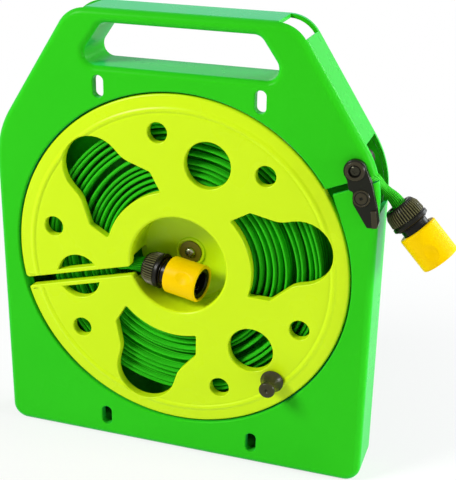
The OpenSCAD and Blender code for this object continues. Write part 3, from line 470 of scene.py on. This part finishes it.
# Axle washer and screw: a dull brown disc keeps the drum on its post, held by a bright pan-head
# screw with a cross recess.
washer_brown = plastic("brown fibre washer", srgb(128, 118, 28), srgb(96, 90, 20), 0.42, 0.12)
washer = [(axle_bore, 30.2), (2.3, 30), (8.6, 30), (9.1, 30.3), (9.2, 30.8), (9.2, 31.2), (axle_bore, 31.2)]
piece("retaining_washer", turned(washer, steps=64), "case", washer_brown, ["axle_washer"])
# The axle screw's zinc is a darker, olive copy of the plated zinc: painted shade of the well and painted lime
# reflection
axle_zinc_painted_shade = metal("axle screw zinc with painted shade and lime reflection", (0.34, 0.34, 0.24, 1), 0.22)
axle_head = turned([(0, 27.4), (1.2, 27.42), (2.4, 27.6), (3.4, 28.1), (4.1, 28.9), (4.4, 29.7), (4.4, 30),
                    (2, 30), (2, 35), (0, 36)], steps=48)
piece("axle_cap_screw", cut_and_join(axle_head, *cross_recess(axle, 26, 28.8, 4, 1)),
      "case", axle_zinc_painted_shade, ["axle_screw"], 30)


# Winding knob: a black turned grip with a flared foot and a small hollow in its end. It spins on a
# steel pin that is pressed into the flange.
def soot_black(name, colour, rough, grain=0.1, rubbed_and_highlight_colour=None):
    """Black plastic, lightened to the given colour where the mesh's marked attribute is 1: painted highlight,
    partly rubbed wear.
    """
    finish = plastic(name, srgb(*colour), srgb(*(c + 8 for c in colour)), rough, grain, shine=1.26)
    if rubbed_and_highlight_colour:
        tree = finish.node_tree
        rubbed_and_highlit, shade = node(tree, "Attribute"), node(tree, "Mix")
        rubbed_and_highlit.attribute_name = "highlight_and_wear"
        shade.data_type = "RGBA"
        shade.inputs["B"].default_value = srgb(*rubbed_and_highlight_colour)
        into = tree.nodes["Principled BSDF"].inputs["Base Color"]
        link(tree, (into.links[0].from_socket, shade.inputs["A"]),
             (rubbed_and_highlit.outputs["Fac"], shade.inputs["Factor"]), (shade.outputs["Result"], into))
    return finish


def highlight_and_wear(mesh, rubbed_and_highlit):
    """Marks the vertices that are lightened: painted highlight, partly rubbed wear."""
    mark = mesh.verts.layers.float.new("highlight_and_wear")
    for vert in mesh.verts:
        vert[mark] = 1.0 if rubbed_and_highlit(vert.co) else 0.0


knob_black = soot_black("knob black nylon", (50, 49, 28), 0.26)
foot = [(pin_bore, -1), (8.6, -1), (9.1, -1.2), (9.3, -1.7), (9.25, -2.4)]
waist = [(5.1 + 3.5 * (1 - t) ** 2, -3 - 10 * t) for t in (k / 10 for k in range(1, 11))]
head = [(5.5, -13.5), (6.2, -14), (6.4, -14.6), (6.4, -16.4), (6.2, -17), (5.6, -17.7), (4.8, -18),
        (1.8, -17.9), (1.2, -17.5), (0.8, -16.8), (0, -16.6)]
bore = [(pin_bore, -11.6), (3.05, -12.1), (3.05, -13.3), (pin_bore, -13.8), (pin_bore, -14.8), (0, -14.8)]
knob = turned((foot + waist + head)[::-1] + bore, knob_place, 64)
piece("spinning_knob", knob, "knob", knob_black, ["winding_knob"], 30)
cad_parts["knob_pin"].material_slots[0].material = zinc

# Gate rollers: two dark brown nylon rollers, one above the other, that guide the hose out and turn
# freely on steel pins between the shell and the cover.
roller_brown = plastic("dark brown roller nylon", srgb(50, 40, 34), srgb(38, 30, 26), 0.42, 0.08)
roller = [(pin_bore, 7.5), (6.6, 7.5), (7.3, 7.7), (7.75, 8.15), (7.9, 8.8), (7.9, 30.2), (7.75, 30.85),
          (7.3, 31.3), (6.6, 31.5), (pin_bore, 31.5)]
for level, at in zip(("upper", "lower"), pin_places):
    piece("guide_roller_" + level, turned(roller, at, 64), level + "_roller", roller_brown,
          [level + "_roller"], 30)
    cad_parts[level + "_roller_pin"].material_slots[0].material = zinc

# Gate lever: one black moulding with two ringed bosses and a thumb ridge. It swings about the upper
# pin, and its hidden hook takes hold of the lower pin to hold the hose slot shut.
# Its lighter second colour on the frontmost faces is painted highlight, partly rubbed wear
lever_black = soot_black("lever black nylon", (17, 19, 8), 0.22, 0.06, (54, 50, 34))
upper, lower = pin_places
blade = [(5, -21.8, 1.2), (11, -21.8, 1.2), (12.9, -20.4, 1.2), (13.5, -17, 2), (11.4, -5.8, 8),
         (6.8, 10.9, 8), (2.6, 20.6, 1), (-6, 19.5, 1), (-14, 16.6, 1), (-11.2, 11.9, 2), (-9.8, 5.4, 2),
         (-8.6, 4.4, 0.6), (-6.6, 3.8, 1), (-6.4, -4.4, 6)]
blade = [(lower[0] + x, lower[1] + z, r) for x, z, r in blade]
blade_front, blade_back = -4.5, -0.3
blade_edge = round_edge(0.7, blade_front, -1, 3)


def boss(radius):
    """Profile of a boss with the same rounded edge as the lever's blade."""
    edge = [(radius + g, d) for g, d in blade_edge]
    return [(0, blade_front)] + edge + [(radius, blade_back), (0, blade_back)]


upper_rings = [(0, -5.4), (4.8, -5.4), (5.1, -5.7), (6.3, -5.7), (6.7, -5.5), (7.6, -4.4), (7.6, -1), (0, -1)]
lower_rings = [(0, -4.8), (1, -4.8), (1.3, -5.4), (3.9, -5.4), (4.2, -5.2), (4.3, -4.9), (4.9, -4.9),
               (5, -5.2), (5.3, -5.4), (6.1, -5.4), (6.5, -4.9), (6.6, -4.3), (6.6, -1), (0, -1)]
thumb_ridge = [(lower[0] + x, lower[1] + z, 0.8)
               for x, z in ((9.1, -21.2), (13.1, -20.7), (11.3, -7.8), (7.3, -8.3))]
lever = cut_and_join(
    moulded(blade, blade_edge + [(0, blade_back)], 4),
    ("UNION", turned(boss(8.4), upper, 64)),
    ("UNION", turned(boss(6.6), lower, 64)),
    ("UNION", turned(upper_rings, upper, 64)),
    ("UNION", turned(lower_rings, lower, 64)),
    ("UNION", moulded(thumb_ridge, round_edge(0.8, -6.5, -1, 3) + [(0, -3.5)], 3)),
    ("DIFFERENCE", turned(rod(pin_bore, -7, 1), upper, 48)),
    ("DIFFERENCE", turned([(0, -7), (4.9, -7), (4.6, -5.4), (4.6, -3.7), (0, -3.7)], upper, 64)))
# The hook is a groove in the lever's back, turned about the upper pin and wider than the lower one
pin_axis, reach = (upper[0], 0, upper[1]), (Vector(lower) - Vector(upper)).length
groove, half_groove = bmesh.new(), 2.8
groove.faces.new([groove.verts.new((upper[0] + r, depth, upper[1]))
                  for r, depth in rod(reach + half_groove, -2.1, 1, reach - half_groove)])
to_lower_pin = atan2(lower[1] - upper[1], lower[0] - upper[0])
bmesh.ops.rotate(groove, verts=groove.verts, cent=pin_axis,
                 matrix=Matrix.Rotation(-to_lower_pin - radians(10), 3, "Y"))
bmesh.ops.spin(groove, geom=groove.verts[:] + groove.edges[:] + groove.faces[:], cent=pin_axis,
               axis=(0, 1, 0), angle=radians(60), steps=24)
bmesh.ops.recalc_face_normals(groove, faces=groove.faces)
lever = cut_and_join(lever, ("DIFFERENCE", groove))
# The lever's frontmost faces are lightened: painted highlight on its raised parts, partly rubbed wear
highlight_and_wear(lever, lambda at: at.y < -5.15)
piece("locking_lever", lever, "lever", lever_black, ["gate_lever"], broad_faces=True)

# Lever screw: a blackened screw with a cross recess, sunk in the upper boss, that keeps the lever on
# its pin.
black_oxide = metal("blackened steel", (0.045, 0.045, 0.03, 1), 0.2)
lever_head = turned([(0, -5.1), (1.2, -5.08), (2.4, -4.95), (3.4, -4.6), (3.9, -4.2), (3.9, -4), (1.25, -4),
                     (1.25, 7), (0, 7.6)], upper, 48)
piece("lever_retaining_screw", cut_and_join(lever_head, *cross_recess(upper, -6, -4.5, 3)),
      "case", black_oxide, ["lever_screw"], 30)


# Quick couplings: one in the well and one on the free end. Each has a black body with a socket, a
# ribbed black nut that clamps the hose, and a yellow sleeve, pulled back to let the tap nipple go.
def coupling_place(at, way):
    """Lays a piece that is drawn from depth 0 backwards along way, starting at the place at."""
    lay = Matrix.Rotation(atan2(way.y, way.x), 4, "Z") @ Matrix.Rotation(acos(way.z), 4, "Y")
    return Matrix.Translation(at) @ lay @ Matrix.Rotation(-pi / 2, 4, "Z") @ Matrix.Rotation(pi / 2, 4, "X")


def from_axis(place):
    """Distance from a coupling's own axis, before the coupling is laid in place."""
    return Vector((place.x, place.z)).length


# The nut's lighter second colour on the rib tops is painted highlight, partly rubbed wear
nut_black = soot_black("clamp nut black nylon", (14, 13, 6), 0.3, rubbed_and_highlight_colour=(92, 90, 58))
body_black = soot_black("coupling body black nylon", (12, 12, 9), 0.24, 0.05)
sleeve_yellow = plastic("yellow sleeve nylon", srgb(240, 206, 0), srgb(236, 188, 0), 0.32, glow=0.04,
                        shine=1.12)
seal_black = soot_black("seal rubber", (18, 18, 18), 0.6)
inside_finishes = {"sleeve_spring": zinc, "locking_claws": zinc, "grip_ring": seal_black,
                   "seal_ring": seal_black}
couplings = {"inner": (Vector((-31.8, 16.9, 154.5)), Vector((0.980, -0.175, -0.0955)).normalized(), "reel"),
             "outer": (Vector((163.9, 17.5, 231.3)), Vector((0.677, -0.03, -0.736)).normalized(), "case")}
first_dimple, thirds = {"inner": 94, "outer": 108}, (0, 120, 240)  # degrees about the coupling's axis
nut_outline = [(7.8, 0.4), (8.2, 0), (10, 0), (11, 0.9), (12.2, 3.1), (13.2, 5), (13.8, 11.8),
               (12.9, 12.5), (12.9, 12.9), (13.5, 12.9), (14.2, 13.6), (14.2, 15.6), (13.6, 16.2),
               (10.9, 16.2), (10.9, 8.8), (9.4, 1.5), (7.8, 1.5)]
hose_seat = [(4.5, 9), (8.6, 9), (10.8, 9.6), (10.8, 16.5), (11.6, 16.5), (12, 16.8), (12, 17.3),
             (11.5, 17.6), (10.6, 18), (10.6, 24.4), (12, 24.4), (12.2, 24.6), (12.2, 25.6), (10.2, 25.6)]
socket = [(10.2, 34.9), (12.2, 35.3), (12.2, 49.7), (11.9, 50), (10.3, 50), (9.6, 49.9), (9.1, 49.4),
          (8.7, 48.8), (8.7, 37.2), (10.3, 37.2), (10.3, 34.6), (8.7, 34.6), (8.7, 34), (6, 33), (6, 17),
          (4.5, 14)]
# The sleeve's wall has extra rings, for the dimples to be pressed into
sleeve_outside = [(10.9, 22.4), (13.5, 22.4), (14.3, 22.7), (14.8, 23.3), (14.9, 24.2)]
sleeve_outside += [(14.9, 33 + 0.7 * k) for k in range(21)]
sleeve_outside += [(14.9, 49.8), (14.75, 50.4), (14.4, 50.85), (13.9, 51), (13.1, 51)]
sleeve_inside = [(12.7, 50.8), (12.5, 50.3), (12.5, 34.5), (10.5, 34.5), (10.5, 32.7), (12.5, 32.7),
                 (12.5, 24), (10.9, 24)]
ball_radius, ball_place = 15, Vector((28.4, 40.1, 0))
nut_columns, rib_depth, ribs_front, ribs_back = 160, 1.3, 2, 12.2
for end, (at, way, body) in couplings.items():
    lay = coupling_place(at, way)
    nut = turned(nut_outline, (0, 0), nut_columns)
    # Forty grip ribs: every third and fourth column of the ribbed part goes in
    ribbed = [v for v in nut.verts if ribs_front < v.co.y < ribs_back and from_axis(v.co) > 10.95]
    valleys = [v for v in ribbed if round(degrees(atan2(v.co.z, v.co.x)) / (360 / nut_columns)) % 4 > 1]
    for vert in valleys:
        sunk = 1 - rib_depth / from_axis(vert.co)
        vert.co *= Vector((sunk, 1, sunk))
    # The rib tops are lightened to a second colour: painted highlight, partly rubbed wear
    ridges = {tuple(v.co) for v in ribbed if v not in valleys and from_axis(v.co) > 12}
    highlight_and_wear(nut, lambda at: tuple(at) in ridges)
    nut.transform(lay)
    nut_piece = piece(end + "_ribbed_nut", nut, body, nut_black, [end + "_clamp_nut"], 25)
    claw_windows = []
    for turn in thirds:
        claw_window = bmesh.new()
        bmesh.ops.create_cube(claw_window, size=1)
        bmesh.ops.scale(claw_window, verts=claw_window.verts, vec=(6, 5, 4.4))
        bmesh.ops.translate(claw_window, verts=claw_window.verts, vec=(10.7, 43.5, 0))
        bmesh.ops.rotate(claw_window, verts=claw_window.verts, cent=(0, 0, 0),
                         matrix=Matrix.Rotation(radians(turn), 3, "Y"))
        claw_windows.append(("DIFFERENCE", claw_window))
    core = cut_and_join(turned(hose_seat + socket, (0, 0), 96), *claw_windows)
    core.transform(lay)
    core_piece = piece(end + "_socket_body", core, body, body_black,
                       [end + "_coupling_body"], 30)
    sleeve = turned(sleeve_outside + sleeve_inside, (0, 0), 144)
    # Three finger dimples, pressed in as far as a ball would reach
    for turn in thirds:
        ball = Matrix.Rotation(radians(turn + first_dimple[end]), 3, "Y") @ ball_place
        for vert in sleeve.verts:
            if (vert.co - ball).length < ball_radius and from_axis(vert.co) > 14.8:
                vert.co = ball + ball_radius * (vert.co - ball).normalized()
    sleeve.transform(lay)
    sleeve_piece = piece(end + "_pull_sleeve", sleeve, end + "_sleeve", sleeve_yellow,
                         [end + "_sliding_sleeve"])
    for part, finish in inside_finishes.items():
        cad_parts[end + "_" + part].material_slots[0].material = finish


# Hose: lay-flat garden hose of woven green yarn with fine ribs along it, 23 mm wide and 3 mm thick
# when flat, round where it enters a coupling. It lies in eleven and a third turns on the drum.
def hose_weave(name):
    """Woven jacket: ribs along the hose with painted highlight on their crests, threads across it, and yarn
    that is darker in places.
    """
    finish, tree, shader = new_finish(name)
    where = node(tree, "UVMap")
    where.uv_map = "jacket"
    ribs, threads = node(tree, "TexWave", Scale=6.9, Distortion=0.6), node(tree, "TexWave", Scale=210)
    ribs.bands_direction, threads.bands_direction = "Y", "X"
    spread, patches = node(tree, "Mapping", Scale=(9, 3, 1)), node(tree, "TexNoise", Scale=1, Detail=3)
    yarn, crest_highlight = node(tree, "Mix"), node(tree, "Mix")
    yarn.data_type = crest_highlight.data_type = "RGBA"
    yarn.inputs["A"].default_value, yarn.inputs["B"].default_value = srgb(12, 126, 6), srgb(42, 214, 20)
    # The rib crests are lightened toward this colour: painted highlight
    crest_highlight.inputs["B"].default_value = srgb(88, 250, 52)
    lift = node(tree, "MapRange", From_Min=0.5, To_Max=0.75)
    height = node(tree, "Math")
    height.operation = "MULTIPLY_ADD"
    height.inputs[1].default_value = 0.25
    relief = node(tree, "Bump", Strength=0.7, Distance=0.0005)
    link(tree, (where.outputs[0], ribs.inputs["Vector"]), (where.outputs[0], threads.inputs["Vector"]),
         (where.outputs[0], spread.inputs["Vector"]), (spread.outputs[0], patches.inputs["Vector"]),
         (patches.outputs[0], yarn.inputs["Factor"]), (yarn.outputs["Result"], crest_highlight.inputs["A"]),
         (ribs.outputs["Fac"], lift.inputs["Value"]), (lift.outputs[0], crest_highlight.inputs["Factor"]),
         (crest_highlight.outputs["Result"], shader.inputs["Base Color"]), (threads.outputs["Fac"], height.inputs[0]),
         (ribs.outputs["Fac"], height.inputs[2]), (height.outputs[0], relief.inputs["Height"]),
         (relief.outputs[0], shader.inputs["Normal"]))
    shader.inputs["Roughness"].default_value = 0.6
    shader.inputs["IOR"].default_value = 1.15
    return finish


def hose(stations, around=20):
    """Closed tube through stations (middle, way, width, thickness, roundness), its width along y."""
    mesh = bmesh.new()
    jacket = mesh.loops.layers.uv.new("jacket")
    last = len(stations) - 1
    bmesh.ops.create_grid(mesh, x_segments=last, y_segments=around, size=1, calc_uvs=True)
    lengths = [0]
    for here, following in zip(stations, stations[1:]):
        lengths.append(lengths[-1] + (following[0] - here[0]).length / 1000)
    for face in mesh.faces:
        for corner in face.loops:
            corner[jacket].uv.x = lengths[round((corner.vert.co.x + 1) / 2 * last)]
            corner[jacket].uv.y = (corner.vert.co.y + 1) / 2
    for vert in mesh.verts:
        middle, way, width, thick, roundness = stations[round((vert.co.x + 1) / 2 * last)]
        angle = pi * (vert.co.y + 1)
        across = (Vector((0, 1, 0)) - way * way.y).normalized()
        out, up = (abs(f) ** (0.5 + roundness / 2) * (1 if f > 0 else -1) for f in (cos(angle), sin(angle)))
        vert.co = middle + across * out * width / 2 + way.cross(across) * up * thick / 2
    bmesh.ops.remove_doubles(mesh, verts=mesh.verts, dist=1e-3)
    bmesh.ops.holes_fill(mesh, edges=mesh.edges, sides=0)
    bmesh.ops.recalc_face_normals(mesh, faces=mesh.faces)
    return mesh


flat_width, flat_thickness, round_width, hose_depth = 23.0, 3.0, 14.4, 19.5


def station(middle, way, roundness=0.0, width=flat_width):
    """Station of the hose, flat where roundness is 0 and as round as its coupling's seat where it is 1."""
    thick = flat_thickness + (round_width - flat_thickness) * roundness
    return (middle, way.normalized(), width + (round_width - width) * roundness, thick, roundness)


def in_drum(along, beside, depth):
    """Place measured along the hose slot from the axle, and beside it."""
    (x, z), (u, v) = about_axle(along, slot_angle), about_axle(beside, slot_angle - 90)
    return Vector((x + u, depth, z + v - axle[1]))


inner_at, inner_way, _ = couplings["inner"]
slot_way = in_drum(1, 0, 0) - in_drum(0, 0, 0)
wound = [station(inner_at + 9 * inner_way, -inner_way, 1), station(inner_at + 4 * inner_way, -inner_way, 1),
         station(inner_at, -inner_way, 1), station(inner_at - 2.5 * inner_way, -inner_way, 0.9),
         station(in_drum(42, -0.9, 18.4), slot_way, 0.5),
         station(in_drum(46.5, 0, hose_depth), slot_way, 0.12)]
first_turn, bend = 58.1, 7
for k in range(6):
    a = radians(15 * k)
    wound.append(station(in_drum(first_turn - bend + bend * sin(a), bend * (1 - cos(a)), hose_depth),
                         in_drum(cos(a), sin(a), 0) - in_drum(0, 0, 0)))
# Some turns lie close to the next and some apart, and not all press as deep, as each window shows
start_angle = radians(slot_angle) - atan2(bend, first_turn)
turn_radii = (56.5, 59.8, 65, 70.4, 75.8, 79.2, 85.4, 94.3, 98.2, 103.4, 108.6, 112, 113.2)
turn_depths = (0.3, 1, 0.2, 1.8, 0.3, 3.2, 0.9, 1.6, 0.2, 3.6, 1, 0.5, 0.2)
steps_per_turn, wound_steps, all_turns = 96, 1084, 11.3
table_start = 0.491  # how far into the first turn of the two tables the winding starts
for k in range(wound_steps + 1):
    turns = k / steps_per_turn
    angle = start_angle - 2 * pi * turns
    n = int(turns + table_start)
    rest = turns + table_start - n
    climb = rest ** (1 + 0.6 * max(n - 1, 0))
    r = turn_radii[n] + (turn_radii[n + 1] - turn_radii[n]) * climb
    sunk = turn_depths[n] + (turn_depths[n + 1] - turn_depths[n]) * (1 - cos(pi * rest)) / 2
    sunk *= min(1, turns * 4) * min(1, (all_turns - turns) * 4)
    wound.append(station(Vector((r * cos(angle), hose_depth + sunk / 2, axle[1] + r * sin(angle))),
                         Vector((sin(angle), 0, -cos(angle))), width=flat_width - sunk))
hose_green = hose_weave("woven hose jacket")
piece("wound_hose", hose(wound), "reel", hose_green, ["hose_winding"], 60)

# Free end of the hose: it leaves the winding near its top, passes between the rollers, narrows, and
# goes round into the outer coupling's nut, which it carries.
outer_at, outer_way, _ = couplings["outer"]
free, outermost = [], 117.2
for angle in (88, 80, 72):
    x, z = about_axle(outermost, angle)
    free.append(station(Vector((x, hose_depth, z)), Vector((sin(radians(angle)), 0, -cos(radians(angle))))))
free_points = [Vector((x, hose_depth, z)) for x, z in (
    (62.3, 264.8), (80, 256.6), (98, 250.3), (113, 247), (126, 246.8), (133.6, 248.8), (138.2, 250.2),
    (142.7, 250.5), (146, 249.3), (148.7, 246.6), (151.7, 243.4))]
free_points += [Vector((155.3, 19.3, 239.9)), Vector((160.4, 18.7, 236.6))]
before_each = [free_points[0] - Vector((18, 0, -7.3))] + free_points
ways = [after - before for before, after in zip(before_each, free_points[1:])] + [outer_way]
# Width, thickness and roundness where the nut gathers it, counted from the first of the points
gathered = {7: (21, 3.2, 0), 8: (18.5, 3.4, 0.1), 9: (15, 4.2, 0.25), 10: (11.6, 5.2, 0.5),
            11: (10, 7, 0.75), 12: (10.6, 9.6, 0.95)}
for k, (place, way) in enumerate(zip(free_points, ways)):
    free.append((place, way.normalized(), *gathered.get(k, (flat_width, flat_thickness, 0))))
free += [(outer_at + Vector((0.8, 0, 0.7)), outer_way, 10.8, 10.6, 1),
         station(outer_at + 4.5 * outer_way, outer_way, 1), station(outer_at + 9 * outer_way, outer_way, 1)]
free_hose = piece("free_hose_end", hose(free, 28), "case", hose_green, ["hose_outlet"], 60)
smooth = free_hose.modifiers.new("soft bends", "SUBSURF")
smooth.levels = smooth.render_levels = 2
